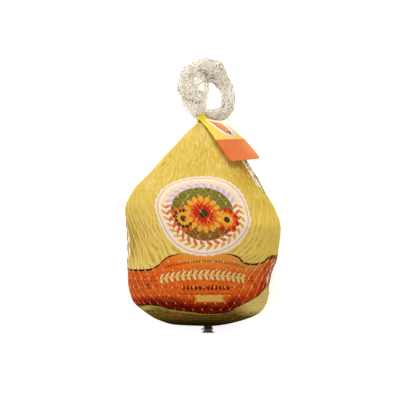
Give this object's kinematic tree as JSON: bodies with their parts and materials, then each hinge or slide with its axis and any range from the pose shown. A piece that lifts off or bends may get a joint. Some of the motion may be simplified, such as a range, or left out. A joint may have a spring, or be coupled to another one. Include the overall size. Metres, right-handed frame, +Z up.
{
  "type": "netted bagged whole turkey",
  "caption": "Whole frozen turkey in a printed opaque shrink bag and a tight diamond-mesh carry net, with a net hand loop, a hang tag and a gathered tail, lying on its back.",
  "frame": {"origin": "middle of the small flat spot that the pack rests on", "axes": "+Y along the bird from the gathered tail to the carry loop, +Z up through the printed breast side, +X to the right as seen from above"},
  "size_m": [0.2469, 0.4344, 0.1974],
  "materials": {
    "printed_bag": "satin printed film, yellow with an orange band",
    "bunched_net": "cream knotted nylon net, bunched",
    "tag_card": "coated card, yellow above and orange below",
    "bag_end": "pleated end of bag and net, dark brown",
    "clip_metal": "dull drawn wire"
  },
  "bodies": {
    "root": {"netted_turkey": "printed_bag", "carry_loop": "bunched_net", "hang_tag": "tag_card", "tail_tuft": "bag_end", "neck_clip": "clip_metal", "tail_clip": "clip_metal"}
  },
  "joints": []
}
